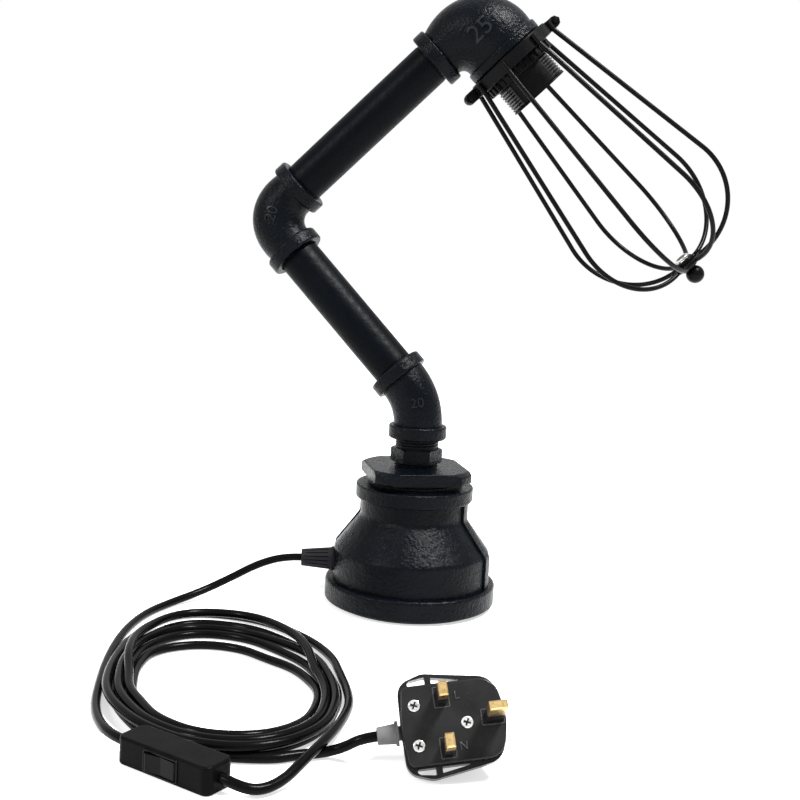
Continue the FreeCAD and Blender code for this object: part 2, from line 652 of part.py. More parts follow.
def guard_yoke():
    """Half ring that joins the swinging wires, ending in two eyes on the hinge pins."""
    ring = Part.makeTorus(YOKE_R, WIRE_R, V(0, 0, HUB_AXIAL))
    reach = 2 * YOKE_R
    yoke = ring.common(block(-reach, reach, 0, reach, HUB_AXIAL - YOKE_R, HUB_AXIAL + YOKE_R))
    for end in (-1, 1):
        start = V(end * YOKE_R - EYE_LEN / 2, 0, HUB_AXIAL)
        yoke = yoke.fuse(Part.makeCylinder(EYE_R, EYE_LEN, start, X))
        yoke = yoke.cut(Part.makeCylinder(HINGE_PIN_R + FIT, 2 * EYE_LEN, start - X * (EYE_LEN / 2), X))
    return yoke


def guard_hub():
    """Round hub on which the fixed wires end, bored for the rivet and the hinge pins."""
    z0, z1 = HUB_AXIAL - HUB_LEN / 2, HUB_AXIAL + HUB_LEN / 2
    hub = revolved([(0, z0), (HUB_R, z0, 1.0), (HUB_R, z1, 1.6), (0, z1)]).cut(rod(RIVET_R + FIT, z0 - 1, z1 + 1))
    for end in (-1, 1):
        hub = hub.cut(Part.makeCylinder(HINGE_PIN_R + PIN_PRESS, HUB_R, V(end * HINGE_PIN_START, 0, HUB_AXIAL), X * end))
    return hub


def fitted_wire(front, angle):
    """A wire, cut to lie against its band and against the hub or the yoke."""
    wire = guard_wire(angle if front else angle + 180, YOKE_R if front else HUB_R - 0.5)
    return wire.cut(band_half(front)).cut(guard_yoke() if front else guard_hub())


def hub_rivet():
    """Bright tubular rivet through the hub, its flared head inside the guard."""
    z0, z1 = HUB_AXIAL - HUB_LEN / 2, HUB_AXIAL + HUB_LEN / 2
    return put(revolved([(1.7, z0 - 1.4, 0.3), (4.6, z0 - 1.4, 0.5), (4.6, z0, 0.3), (RIVET_R, z0),
                         (RIVET_R, z1), (1.7, z1)]), GUARD)


def hub_ball():
    """Round finial whose stem is pressed into the rivet."""
    face = HUB_AXIAL + HUB_LEN / 2
    ball = Part.makeSphere(BALL_R, V(0, 0, face + BALL_R - 0.6))
    ball = ball.common(rod(BALL_R + 1, face, face + 3 * BALL_R))
    return put(ball.fuse(rod(1.65, HUB_AXIAL - 1, face + 1)), GUARD)


def hinge_pins():
    pins = []
    for end in (-1, 1):
        length = YOKE_R + EYE_LEN / 2 + 0.6 - HINGE_PIN_START
        pins.append(put(Part.makeCylinder(HINGE_PIN_R, length, V(end * HINGE_PIN_START, 0, HUB_AXIAL), X * end), GUARD))
    return pins


def clamp_screws():
    """Round-headed screws through both ears, heads behind."""
    axial = (BAND_START + BAND_END) / 2
    back = EAR_GAP / 2 + EAR_THICK
    screws = []
    for end in (-1, 1):
        screw = revolved([(0, -back - 2.6), (CLAMP_HEAD_R - 0.6, -back - 2.4, 1.4), (CLAMP_HEAD_R, -back, 0.3),
                          (CLAMP_SCREW_R, -back), (CLAMP_SCREW_R, back + 4.2, 0.3), (0, back + 4.2)])
        screw = screw.cut(block(-CLAMP_HEAD_R, CLAMP_HEAD_R, -0.4, 0.4, -back - 3, -back - 1.4))
        screws.append(put(screw, GUARD.multiply(frame(V(end * CLAMP_SCREW_AT, 0, axial), X, Y))))
    return screws


def clamp_nuts():
    """Hexagon nuts on the ears of the swinging half."""
    axial = (BAND_START + BAND_END) / 2
    front = EAR_GAP / 2 + EAR_THICK
    nuts = []
    for end in (-1, 1):
        nut = hexagon(6.0, front, front + 2.8, chamfer=0.4)
        nut = nut.cut(rod(CLAMP_SCREW_R + CLAMP_SCREW_PLAY, front - 1, front + 4))
        nuts.append(put(nut, GUARD.multiply(frame(V(end * CLAMP_SCREW_AT, 0, axial), X, Y))))
    return nuts


# ---- Mains lead -------------------------------------------------------------------------------

GLAND_TIP = GLAND_OUT * (BARREL_R + GLAND_STAND + GLAND_LEN) + Z * GLAND_Z
SWITCH_ALONG = turn(X, Z, SWITCH_AZIMUTH)
SWITCH_MID = V(SWITCH_AT[0], SWITCH_AT[1], SWITCH_H / 2)
SWITCH_IN = SWITCH_MID - SWITCH_ALONG * (SWITCH_LEN / 2)
SWITCH_OUT = SWITCH_MID + SWITCH_ALONG * (SWITCH_LEN / 2)

LEAD_ROUTE = (
    (-98.0, -7.2, 21.0), (-115.5, -13.0, 12.0), (-132.5, -23.0, 5.2), (-147.5, -38.5, 2.6),
    (-158.2, -60.0, 2.5), (-163.2, -87.0, 2.5), (-163.8, -116.0, 2.5), (-161.6, -146.0, 2.5),
    (-157.6, -175.0, 2.5), (-153.2, -201.0, 2.6), (-145.8, -223.5, 4.2),
)
TAIL_ROUTE = ((-50.0, -245.5, 2.5), (-39.0, -242.3, 2.6), (-29.8, -243.6, 6.0))
COIL_CENTRE = (-93.0, -164.0)
COIL_TILT = 12.0          # degrees that the long axis leans left, away from the viewer
COIL_OUTER = (62.0, 120.0)
COIL_INNER = (46.0, 66.0)
COIL_INNER_SHIFT = (1.0, -11.5)


def tail_points():
    end = PLUG.multVec(V(PLUG_LEFT - PLUG_RELIEF_LEN, 0, PLUG_LEAD_W))
    return list(TAIL_ROUTE) + [tuple(end - PLUG_U * 7), tuple(end)]


def oval(semi_x, semi_y, x, y, z0, z1):
    ellipse = Part.Ellipse(V(0, semi_y, 0), V(semi_x, 0, 0), O).toShape()
    solid = Part.Face(Part.Wire([ellipse])).extrude(V(0, 0, z1 - z0))
    solid.rotate(O, Z, COIL_TILT)
    solid.translate(V(x, y, z0))
    return solid


def cord_coil():
    """Outer shape of the loose oval coil, open in the middle and notched for the switch."""
    x, y = COIL_CENTRE
    z0 = 0.1
    ring = oval(COIL_OUTER[0], COIL_OUTER[1], x, y, z0, COIL_HEIGHT)
    ring = ring.cut(oval(COIL_INNER[0], COIL_INNER[1], x + COIL_INNER_SHIFT[0], y + COIL_INNER_SHIFT[1],
                         z0 - 1, COIL_HEIGHT + 1))
    reach = SWITCH_LEN / 2
    notch = block(-reach - 40, reach, -SWITCH_DEEP / 2 - 40, SWITCH_DEEP / 2 + SOFT_GAP, z0 - 20, COIL_HEIGHT + 20)
    return ring.cut(put(notch, SWITCH)).cut(routed(tail_points(), CORD_R + SOFT_GAP))


def cord_lead():
    start = [tuple(GLAND_TIP), tuple(GLAND_TIP + GLAND_OUT * 11)]
    end = [tuple(SWITCH_IN - SWITCH_ALONG * 12), tuple(SWITCH_IN)]
    return routed(start + list(LEAD_ROUTE) + end, CORD_R)


def cord_tail():
    return routed(tail_points(), CORD_R)


# ---- Line switch ------------------------------------------------------------------------------

# Local frame: X along the lead, Y away from the rocker, Z up; the origin is the middle of the case.
SWITCH = frame(SWITCH_MID, SWITCH_ALONG, Z)


def switch_case():
    half_x, half_y = SWITCH_LEN / 2, SWITCH_DEEP / 2
    case = extruded([(-half_x, -half_y, 4.0), (half_x, -half_y, 4.0), (half_x, half_y, 4.0),
                     (-half_x, half_y, 4.0)], -SWITCH_H / 2, SWITCH_H / 2)
    edges = [e for e in case.Edges if e.BoundBox.ZLength < 1e-6]
    return case.makeFillet(1.2, edges)


ROCKER_SLOT = 0.35
ROCKER_AXIS_Y = -SWITCH_DEEP / 2 + 3.0


def switch_hollow():
    half_x, half_y, half_z = SWITCH_LEN / 2, SWITCH_DEEP / 2, SWITCH_H / 2
    w = SWITCH_WALL
    return block(-half_x + 7, half_x - 7, -half_y + w, half_y - w, -half_z + w, half_z - w)


def switch_shell(front):
    """Half of the case, split on its middle plane; the front half has the rocker's opening."""
    half_y = SWITCH_DEEP / 2
    keep = block(-50, 50, -50, 0, -50, 50) if front else block(-50, 50, 0, 50, -50, 50)
    shell = switch_case().common(keep).cut(switch_hollow())
    if front:
        s = ROCKER_SLOT
        shell = shell.cut(block(-ROCKER_LEN / 2 - s, ROCKER_LEN / 2 + s, -half_y - 1, -half_y + SWITCH_WALL + 1,
                                -ROCKER_WIDE / 2 - s, ROCKER_WIDE / 2 + s))
    else:
        for end in (-1, 1):
            x = end * (SWITCH_LEN / 2 - 10.5)
            post = Part.makeCylinder(2.6, half_y - 0.6, V(x, 0, 0), Y)
            shell = shell.fuse(post)
            shell = shell.cut(Part.makeCylinder(1.3, half_y + 2, V(x, -1, 0), Y))
            shell = shell.cut(Part.makeCylinder(2.3, 2, V(x, half_y - 1.4, 0), Y))
    return put(shell, SWITCH)


def switch_rocker():
    """Rocker with a shallow V top, on its own stub axles, rocking about the local Z."""
    top = -SWITCH_DEEP / 2 - 2.6
    half = ROCKER_LEN / 2
    pivot = ROCKER_AXIS_Y
    body = extruded([(-half, pivot + 1.5), (-half, top + 1.2, 0.8), (0, top + 2.4), (half, top + 1.2, 0.8),
                     (half, pivot + 1.5), (0, pivot + 3.2, 3)], -ROCKER_WIDE / 2, ROCKER_WIDE / 2)
    axle = Part.makeCylinder(1.2, SWITCH_H - 2 * SWITCH_WALL - 0.6, V(0, pivot, -SWITCH_H / 2 + SWITCH_WALL + 0.3))
    rocker = body.fuse(axle)
    rocker.rotate(V(0, pivot, 0), Z, ROCKER_TILT / 2)
    return put(rocker, SWITCH)


def rocker_carrier():
    """Two cheeks on the walls of the front shell that hold the rocker's axles."""
    cheeks = []
    for side in (-1, 1):
        z1 = side * (SWITCH_H / 2 - SWITCH_WALL)
        z0 = side * (ROCKER_WIDE / 2 + 0.3)
        z_low, z_high = sorted((z0, z1))
        cheek = block(-3.0, 3.0, -SWITCH_DEEP / 2 + SWITCH_WALL, -0.3, z_low, z_high)
        cheeks.append(put(cheek.cut(rod(1.2 + FIT, -9, 9, 0, ROCKER_AXIS_Y)), SWITCH))
    return cheeks


def switch_screws():
    half_y = SWITCH_DEEP / 2
    screws = []
    for end in (-1, 1):
        x = end * (SWITCH_LEN / 2 - 10.5)
        screw = Part.makeCylinder(1.25, half_y - 1.4, V(x, 0, 0), Y)
        screws.append(put(screw.fuse(Part.makeCylinder(2.2, 1.0, V(x, half_y - 1.4, 0), Y)), SWITCH))
    return screws


def switch_contacts():
    """Fixed and moving contact strips on the back shell."""
    wall = SWITCH_DEEP / 2 - SWITCH_WALL
    strips = []
    for end in (-1, 1):
        x0, x1 = sorted((end * 3.0, end * 12.0))
        strip = block(x0, x1, wall - 0.6, wall, -2.5, 2.5).fuse(
            block(min(end * 3.0, end * 3.6), max(end * 3.0, end * 3.6), 1.0, wall, -2.5, 2.5))
        strips.append(put(strip, SWITCH))
    return strips


# ---- Plug -------------------------------------------------------------------------------------

PLUG_LEFT = -19.5
PLUG_LEAD_W = -12.0
PLUG_LOW = 24.6           # height of the middle of the live and neutral pins
PLUG_TILT = FreeCAD.Rotation(X, -PLUG_LEAN)
PLUG_U = PLUG_TILT.multVec(V(cos(radians(PLUG_ROLL)), 0, sin(radians(PLUG_ROLL))))
PLUG_W = PLUG_TILT.multVec(V(0, -1, 0))
PLUG = frame(V(PLUG_AT[0], PLUG_AT[1], PLUG_LOW), PLUG_U, PLUG_W)
PLUG_LOOP_IN = -3.0
PLUG_LOOP_OUT = -8.0
FACE_OUTLINE = ((PLUG_LEFT + 2, -17.6, 3), (24.5, -17.6, 9), (28.2, 0, 26), (24.5, 17.6, 9), (PLUG_LEFT + 2, 17.6, 3),
                (PLUG_LEFT, 0, 40))
LOOP_OUTLINE = ((PLUG_LEFT + 0.6, -19.5, 7), (-7.5, -23.3, 9), (24.0, -18.4, 9), (28.2, 0, 26), (24.0, 18.4, 9),
                (-7.5, 23.3, 9), (PLUG_LEFT + 0.6, 19.5, 7), (PLUG_LEFT, 0, 40))
PIN_SITES = {"live": (0.0, PIN_PITCH / 2), "neutral": (0.0, -PIN_PITCH / 2), "earth": (PIN_PITCH, 0.0)}
POWER_PIN = (4.0, 6.35, 17.7)
EARTH_PIN = (8.0, 4.0, 22.7)
SLEEVE_LEN = 9.5
POWER_PIN_ROOT = 4.5           # length of a pin behind the face plate
EARTH_PIN_ROOT = 1.6
GRIP_THICK = 1.6
PLUG_SCREWS = ((-12.5, 8.8), (-12.5, -8.8), (10.0, -1.2))


def plug_face():
    """Face plate with pin and screw holes."""
    plate = extruded(FACE_OUTLINE, -PLUG_FACE_H, 0)
    top = [e for e in plate.Edges if e.BoundBox.ZLength < 1e-6 and e.BoundBox.ZMax > -1e-6]
    plate = plate.makeFillet(0.8, top)
    for name, (u, v) in PIN_SITES.items():
        a, b, _ = EARTH_PIN if name == "earth" else POWER_PIN
        plate = plate.cut(block(u - a / 2, u + a / 2, v - b / 2, v + b / 2, -PLUG_FACE_H - 1, 1))
    for u, v in PLUG_SCREWS:
        plate = plate.cut(rod(1.8, -PLUG_FACE_H - 1, 1, u, v)).cut(rod(2.9, -1.0, 1, u, v))
    return put(plate, PLUG)


def plug_cover():
    """Back shell that tapers to the grip, with a finger loop along each long side."""
    loops = extruded(LOOP_OUTLINE, PLUG_LOOP_OUT, PLUG_LOOP_IN)
    slots = []
    for side in (-1, 1):
        slot = extruded([(-15.5, side * 18.3, 0.8), (12.0, side * 18.3, 0.3), (-6.8, side * 21.5, 4.0),
                         (-13.2, side * 20.6, 1.5)] if side > 0 else
                        [(-15.5, side * 18.3, 0.8), (-13.2, side * 20.6, 1.5), (-6.8, side * 21.5, 4.0),
                         (12.0, side * 18.3, 0.3)], PLUG_LOOP_OUT - 1, PLUG_LOOP_IN + 1)
        bar = block(-6.2, -3.4, min(side * 18, side * 23), max(side * 18, side * 23), PLUG_LOOP_OUT, PLUG_LOOP_IN)
        slots.append(slot.cut(bar))
    back = [(PLUG_LEFT + 4, -11.5, 5), (19.5, -11.5, 7), (22.0, 0, 24), (19.5, 11.5, 7), (PLUG_LEFT + 4, 11.5, 5),
            (PLUG_LEFT + 2.5, 0, 30)]
    front_wire = outline(FACE_OUTLINE, "XY")
    front_wire.translate(V(0, 0, PLUG_LOOP_OUT))
    back_wire = outline(back, "XY")
    back_wire.translate(V(0, 0, -PLUG_BACK))
    dome = Part.makeLoft([back_wire, front_wire], True, True)
    inner = Part.makeLoft([scaled(back_wire, 0.84, -PLUG_BACK + 2.2), scaled(front_wire, 0.9, PLUG_LOOP_OUT)],
                          True, True)
    pocket = extruded([(p[0], p[1] * 1.003, p[2]) for p in FACE_OUTLINE], -PLUG_FACE_H - 0.02, 1)
    mid = extruded([(p[0] * 0.9, p[1] * 0.9, p[2] * 0.9) for p in FACE_OUTLINE], PLUG_LOOP_OUT - 0.5, 0)
    cover = dome.fuse(loops).cut(Part.makeCompound(slots)).cut(pocket).cut(mid).cut(inner)
    relief_hole = Part.makeCylinder(3.4, 8, V(PLUG_LEFT - 1, 0, PLUG_LEAD_W), X)
    cover = cover.cut(relief_hole)
    for name, (u, v) in PIN_SITES.items():
        a, b, _ = EARTH_PIN if name == "earth" else POWER_PIN
        cover = cover.cut(block(u - a / 2, u + a / 2, v - b / 2, v + b / 2, pin_root(name) - SOFT_GAP, 0))
    for i, (u, v) in enumerate(PLUG_SCREWS):
        top = -PLUG_FACE_H - 0.02 - (GRIP_THICK if i < 2 else 0)
        post = rod(3.0, -PLUG_BACK + 2.0, top, u, v).cut(rod(1.5, -PLUG_BACK + 3, 0, u, v))
        cover = cover.fuse(post)
    return put(cover, PLUG)


def scaled(wire, factor, z):
    """Copy of a flat wire, shrunk about the plug's axis and moved to a height."""
    copy = wire.copy()
    matrix = FreeCAD.Matrix()
    matrix.scale(factor, factor, 1)
    copy = copy.transformGeometry(matrix)
    copy.translate(V(0, 0, z - copy.BoundBox.ZMin))
    return copy


def pin_root(name):
    return -PLUG_FACE_H - (EARTH_PIN_ROOT if name == "earth" else POWER_PIN_ROOT)


def plug_pin(name):
    u, v = PIN_SITES[name]
    a, b, length = EARTH_PIN if name == "earth" else POWER_PIN
    core_a, core_b = a - 1.2, b - 1.2
    tip = block(u - a / 2, u + a / 2, v - b / 2, v + b / 2, SLEEVE_LEN, length)
    tip = tip.makeChamfer(0.7, [e for e in tip.Edges if e.BoundBox.ZMin > length - 1e-6])
    core = block(u - core_a / 2, u + core_a / 2, v - core_b / 2, v + core_b / 2, pin_root(name), SLEEVE_LEN)
    return put(tip.fuse(core), PLUG)


def pin_sleeves():
    sleeves = []
    for name, (u, v) in PIN_SITES.items():
        a, b, _ = EARTH_PIN if name == "earth" else POWER_PIN
        outer = block(u - a / 2, u + a / 2, v - b / 2, v + b / 2, -PLUG_FACE_H, SLEEVE_LEN)
        inner = block(u - a / 2 + 0.6, u + a / 2 - 0.6, v - b / 2 + 0.6, v + b / 2 - 0.6, -PLUG_FACE_H, SLEEVE_LEN)
        sleeves.append(put(outer.cut(inner), PLUG))
    return sleeves


def plug_screws():
    screws = []
    for u, v in PLUG_SCREWS:
        head = rod(2.7, -1.0, 0.5, u, v)
        head = head.makeFillet(0.4, [e for e in head.Edges if e.BoundBox.ZMin > 0.4])
        screw = head.fuse(rod(1.45, -PLUG_FACE_H - 5, -1.0, u, v))
        screws.append(put(screw.cut(block(u - 3, u + 3, v - 0.4, v + 0.4, -0.1, 1)), PLUG))
    return screws


FUSE_V = 5.2
FUSE_W = -11.6
FUSE_R = 3.15


def plug_fuse():
    """Cartridge fuse with a cap on each end."""
    barrel = Part.makeCylinder(FUSE_R - 0.35, 25.4, V(-9.0, FUSE_V, FUSE_W), X)
    caps = [Part.makeCylinder(FUSE_R, 6.0, V(x, FUSE_V, FUSE_W), X) for x in (-9.0, 10.4)]
    return put(barrel.fuse(caps), PLUG)


def fuse_clips():
    """Two spring clips on the back of the face plate."""
    clips = []
    for u in (-7.5, 11.9):
        clip = block(u, u + 3.0, FUSE_V - FUSE_R - 0.6, FUSE_V + FUSE_R + 0.6, FUSE_W - 1.0, -PLUG_FACE_H)
        clip = clip.cut(Part.makeCylinder(FUSE_R + 0.02, 5, V(u - 1, FUSE_V, FUSE_W), X))
        clips.append(put(clip, PLUG))
    return clips


def plug_relief():
    """Ribbed sleeve round the lead where it enters the plug."""
    start = PLUG_LEFT - PLUG_RELIEF_LEN
    body = revolved([(0, start), (3.9, start, 0.5), (4.6, PLUG_LEFT - 2.4), (4.6, PLUG_LEFT - 2.2), (5.6, PLUG_LEFT - 2.2),
                     (5.6, PLUG_LEFT - 0.8), (3.3, PLUG_LEFT - 0.8), (3.3, PLUG_LEFT + 4), (0, PLUG_LEFT + 4)])
    return put(body, PLUG.multiply(frame(V(0, 0, PLUG_LEAD_W), Y, X)))


def cord_grip():
    """Bar on the lead, held by the two screws beside it."""
    bar = block(-15.5, -9.0, -12.0, 12.0, -PLUG_FACE_H - GRIP_THICK, -PLUG_FACE_H)
    for u, v in PLUG_SCREWS[:2]:
        bar = bar.cut(rod(1.6, -20, 1, u, v))
    return put(bar, PLUG)


# ---- Build ------------------------------------------------------------------------------------

def main():
    os.makedirs("parts", exist_ok=True)
    write("base_pad", revolved([(0, 0), (PAD_R, 0, 0.5), (PAD_R, PAD_H), (0, PAD_H)]))
    write("reducing_socket", reducing_socket())
    write("hexagon_bushing", hexagon_bushing())
    write("hex_nipple", hex_nipple())
    write("cord_gland", cord_gland())
    write("gland_nut", gland_nut())
    write("terminal_block", terminal_block())
    write("terminal_screws", terminal_screws())
    write("base_inner_lead", inner_lead_base())

    write("elbow_45", put(elbow_45(), ELBOW1))
    write("lower_pipe", put(pipe(ELBOW1_REACH, LOWER_REACH, ELBOW2_REACH), LOWER))
    write("lower_inner_lead", put(pipe_lead(22, LOWER_REACH - 26, V(1, 0, 0)), LOWER))
    write("elbow_90", put(elbow_90(), ELBOW2))
    write("upper_pipe", put(pipe(ELBOW2_REACH, UPPER_REACH, HEAD_INLET_REACH), UPPER))
    write("upper_inner_lead", put(pipe_lead(28, UPPER_REACH - 28, V(-1, 0, 0)), UPPER))
    write("head_elbow", put(head_elbow(), ELBOW3))

    write("holder_cap", put(holder_cap(), HEAD))
    write("holder_body", put(holder_body(), HEAD))
    write("holder_insert", put(holder_insert(), HEAD))
    write("threaded_shell", put(threaded_shell(), HEAD))
    write("lamp_contacts", [put(s, HEAD) for s in lamp_contacts()])
    write("collar_ring", put(collar_ring(), HEAD))
    write("guard_band_fixed", put(band_half(False), GUARD))
    write("guard_band_swing", put(band_half(True), GUARD))
    write("guard_hub", put(guard_hub(), GUARD))
    write("guard_yoke", put(guard_yoke(), GUARD))
    for i, (fixed, swinging) in enumerate(zip(FIXED_WIRES, DOOR_WIRES), 1):
        write("fixed_wire_%d" % i, put(fitted_wire(False, fixed), GUARD))
        write("swing_wire_%d" % i, put(fitted_wire(True, swinging), GUARD))
    write("hub_rivet", hub_rivet())
    write("hub_ball", hub_ball())
    write("hinge_pins", hinge_pins())
    write("clamp_screws", clamp_screws())
    write("clamp_nuts", clamp_nuts())

    write("cord_lead", cord_lead())
    write("cord_coil", cord_coil())
    write("cord_tail", cord_tail())
    write("switch_front", switch_shell(True))
    write("switch_back", switch_shell(False))
    write("switch_rocker", switch_rocker())
    write("rocker_carrier", rocker_carrier())
    write("switch_screws", switch_screws())
    write("switch_contacts", switch_contacts())
    write("plug_face", plug_face())
    write("plug_cover", plug_cover())
    write("live_pin", plug_pin("live"))
    write("neutral_pin", plug_pin("neutral"))
    write("earth_pin", plug_pin("earth"))
    write("pin_sleeves", pin_sleeves())
    write("plug_screws", plug_screws())
    write("plug_fuse", plug_fuse())
    write("fuse_clips", fuse_clips())
    write("plug_relief", plug_relief())
    write("cord_grip", cord_grip())
    print(len(WRITTEN), "nodes")


main()
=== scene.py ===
"""Table lamp of screwed iron pipe fittings: finishes, cords, threads and light."""
import json
from math import cos, pi, radians, sin

import bpy
from mathutils import Euler, Matrix, Vector


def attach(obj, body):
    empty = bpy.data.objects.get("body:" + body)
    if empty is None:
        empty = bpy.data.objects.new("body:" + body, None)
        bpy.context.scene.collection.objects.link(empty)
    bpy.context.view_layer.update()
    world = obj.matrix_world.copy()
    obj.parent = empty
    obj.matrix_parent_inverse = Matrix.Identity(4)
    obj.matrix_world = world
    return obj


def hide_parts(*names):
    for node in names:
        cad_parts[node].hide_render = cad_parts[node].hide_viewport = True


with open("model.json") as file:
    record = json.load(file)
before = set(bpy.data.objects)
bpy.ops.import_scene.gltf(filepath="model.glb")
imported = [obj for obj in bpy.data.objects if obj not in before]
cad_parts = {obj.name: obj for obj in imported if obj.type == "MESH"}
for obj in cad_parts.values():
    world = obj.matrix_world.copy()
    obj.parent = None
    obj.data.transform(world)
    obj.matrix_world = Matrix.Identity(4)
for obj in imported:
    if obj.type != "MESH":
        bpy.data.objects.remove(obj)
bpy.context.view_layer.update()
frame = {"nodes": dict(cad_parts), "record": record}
nodes = frame["nodes"]


def mm(*points):
    """Points typed in millimetres, in metres."""
    return [Vector(p) / 1000 for p in points]


# ---- Camera, floor and light -------------------------------------------------------------------

CAMERA_AT = mm((-11.77, -760.0, 239.86))[0]
CAMERA_DOWN = 0.14231          # radians below level
CAMERA_YAW = 0.0006
CAMERA_ROLL = 0.05081
CAMERA_LENS = 54.225           # focal length in millimetres
ROOM_LIGHT = 0.5               # strength of the surroundings' light on the lamp; 1 is what the camera sees of them
TABLE_GREY = 0.80
TABLE_GLOW = 0.6               # lifts the table to white where it is seen, and keeps the lamp's shadow on it
TABLE_SIZE = 50.0              # metres
TABLE_DROP = 0.0002            # below the resting face, so that the two don't flicker


def camera():
    bpy.ops.object.camera_add(location=CAMERA_AT)
    view = bpy.context.object
    aim = Euler((pi / 2 - CAMERA_DOWN, 0, CAMERA_YAW)).to_matrix() @ Matrix.Rotation(CAMERA_ROLL, 3, "Z")
    view.rotation_euler = aim.to_euler()
    view.data.lens = CAMERA_LENS
    view.data.clip_start = 0.02
    view.data.clip_end = 60
    bpy.context.scene.camera = view


def lamp(name, place, aim, size, power):
    """Soft rectangular lamp at place, turned to aim; metres and watts."""
    bpy.ops.object.light_add(type="AREA", location=place)
    light = bpy.context.object
    light.name = name
    light.rotation_euler = (Vector(aim) - Vector(place)).to_track_quat("-Z", "Y").to_euler()
    light.data.shape = "RECTANGLE"
    light.data.size, light.data.size_y = size
    light.data.energy = power


def seen_ray(tree):
    """1 for rays that show the background: from the camera, by gloss or through glass."""
    path = tree.nodes.new("ShaderNodeLightPath")
    value = path.outputs["Is Camera Ray"]
    for kind in ("Is Glossy Ray", "Is Transmission Ray"):
        most = tree.nodes.new("ShaderNodeMath")
        most.operation = "MAXIMUM"
        tree.links.new(value, most.inputs[0])
        tree.links.new(path.outputs[kind], most.inputs[1])
        value = most.outputs[0]
    return value


def room():
    """White surroundings, and a dimmer even light from them on the lamp."""
    world = bpy.data.worlds.new("white_room")
    bpy.context.scene.world = world
    world.use_nodes = True
    tree = world.node_tree
    shown = tree.nodes["Background"]
    shown.inputs["Color"].default_value = (1, 1, 1, 1)
    shown.inputs["Strength"].default_value = 1.0
    light = tree.nodes.new("ShaderNodeBackground")
    light.inputs["Color"].default_value = (1, 1, 1, 1)
    light.inputs["Strength"].default_value = ROOM_LIGHT
    mix = tree.nodes.new("ShaderNodeMixShader")
    tree.links.new(seen_ray(tree), mix.inputs[0])
    tree.links.new(light.outputs[0], mix.inputs[1])
    tree.links.new(shown.outputs[0], mix.inputs[2])
    tree.links.new(mix.outputs[0], tree.nodes["World Output"].inputs["Surface"])


def floor():
    """White table top, with the lamp's soft shadow on it."""
    bpy.ops.mesh.primitive_plane_add(size=TABLE_SIZE, location=(0, 0, -TABLE_DROP))
    table = bpy.context.object
    table.name = "table_top"
    white = bpy.data.materials.new("table_white")
    white.use_nodes = True
    tree = white.node_tree
    shader = tree.nodes["Principled BSDF"]
    shader.inputs["Base Color"].default_value = (TABLE_GREY, TABLE_GREY, TABLE_GREY, 1)
    shader.inputs["Roughness"].default_value = 0.9
    shader.inputs["Specular IOR Level"].default_value = 0.0
    shader.inputs["Emission Color"].default_value = (1, 1, 1, 1)
    lift = tree.nodes.new("ShaderNodeMath")
    lift.operation = "MULTIPLY"
    lift.inputs[1].default_value = TABLE_GLOW
    tree.links.new(seen_ray(tree), lift.inputs[0])
    tree.links.new(lift.outputs[0], shader.inputs["Emission Strength"])
    table.data.materials.append(white)


camera()
room()
floor()
lamp("top_lamp", (0.60, -0.40, 1.55), (0, 0, 0.1), (0.46, 0.30), 62)
lamp("left_lamp", (-1.15, -0.95, 0.95), (0, 0, 0.15), (0.16, 0.42), 14)
bpy.context.scene.view_settings.view_transform = "Standard"


# ---- Finishes ----------------------------------------------------------------------------------

